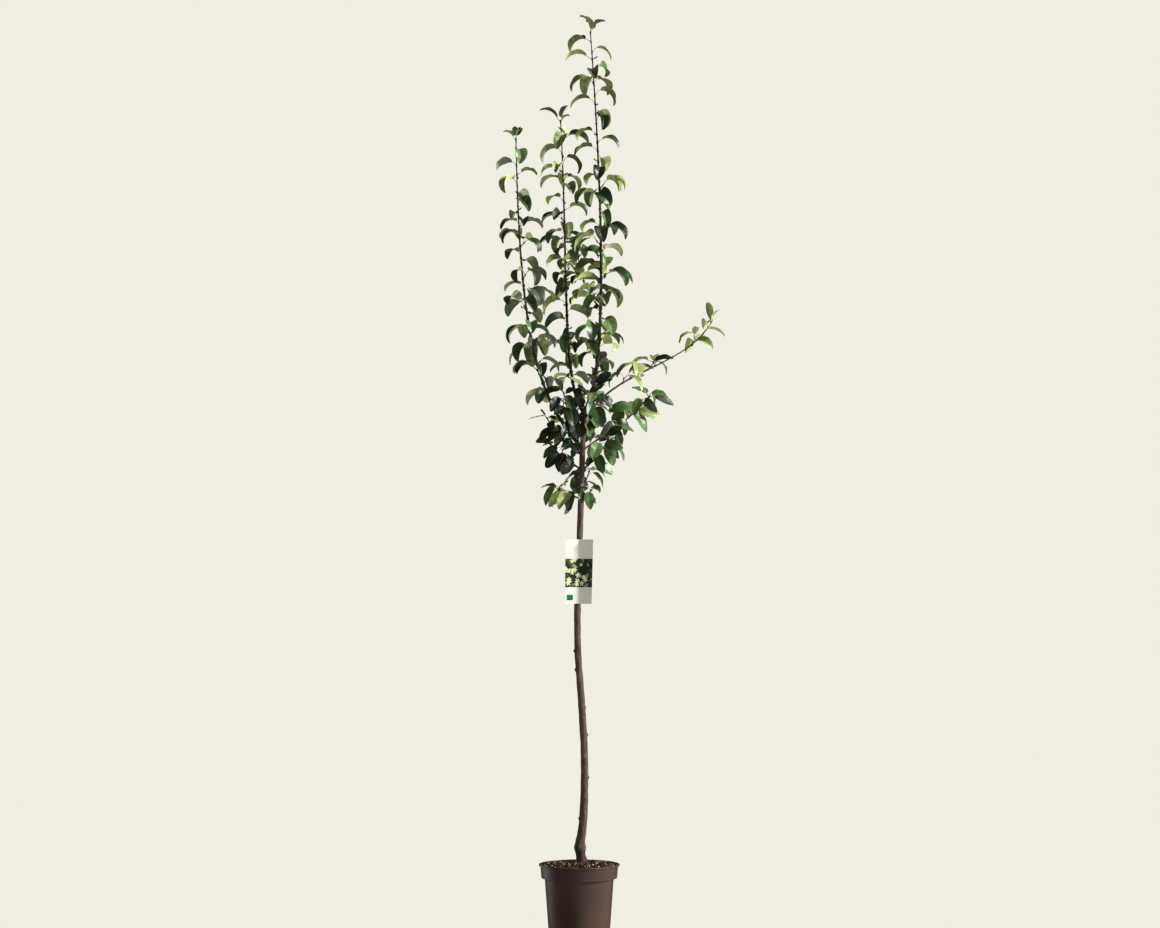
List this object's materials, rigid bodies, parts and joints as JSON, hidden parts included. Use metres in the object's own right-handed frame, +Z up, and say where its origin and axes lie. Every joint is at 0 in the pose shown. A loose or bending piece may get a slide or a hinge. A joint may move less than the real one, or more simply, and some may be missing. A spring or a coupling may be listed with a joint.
{
  "type": "potted pear tree",
  "caption": "Young pear tree with upright leaders and arching leaves, standing in a round brown plastic nursery pot of soil, with a plain care label.",
  "frame": {"origin": "centre of the pot's flat underside, on the ground", "axes": "+Z up along the trunk; -Y is the front that the picture shows, +X to its right"},
  "size_m": [0.5879, 0.2969, 2.3972],
  "materials": {
    "pot_plastic": "satin",
    "soil": "matte",
    "bark": "matte",
    "leaves": "satin",
    "label_card": "satin"
  },
  "bodies": {
    "root": {"pot": "pot_plastic", "soil": "soil", "trunk": "bark", "left_leader": "bark", "middle_leader": "bark", "right_leader": "bark", "right_lateral": "bark", "right_lower_lateral": "bark", "left_leader_foliage": "leaves", "middle_leader_foliage": "leaves", "right_leader_foliage": "leaves", "right_lateral_foliage": "leaves", "right_lower_lateral_foliage": "leaves", "left_upper_shoot_foliage": "leaves", "left_lower_shoot_foliage": "leaves", "right_shoot_foliage": "leaves", "front_left_shoot_foliage": "leaves", "front_right_shoot_foliage": "leaves", "front_shoot_foliage": "leaves", "back_shoot_foliage": "leaves", "back_left_shoot_foliage": "leaves", "low_left_shoot_foliage": "leaves", "low_right_shoot_foliage": "leaves", "low_back_shoot_foliage": "leaves", "label": "label_card"}
  },
  "joints": []
}
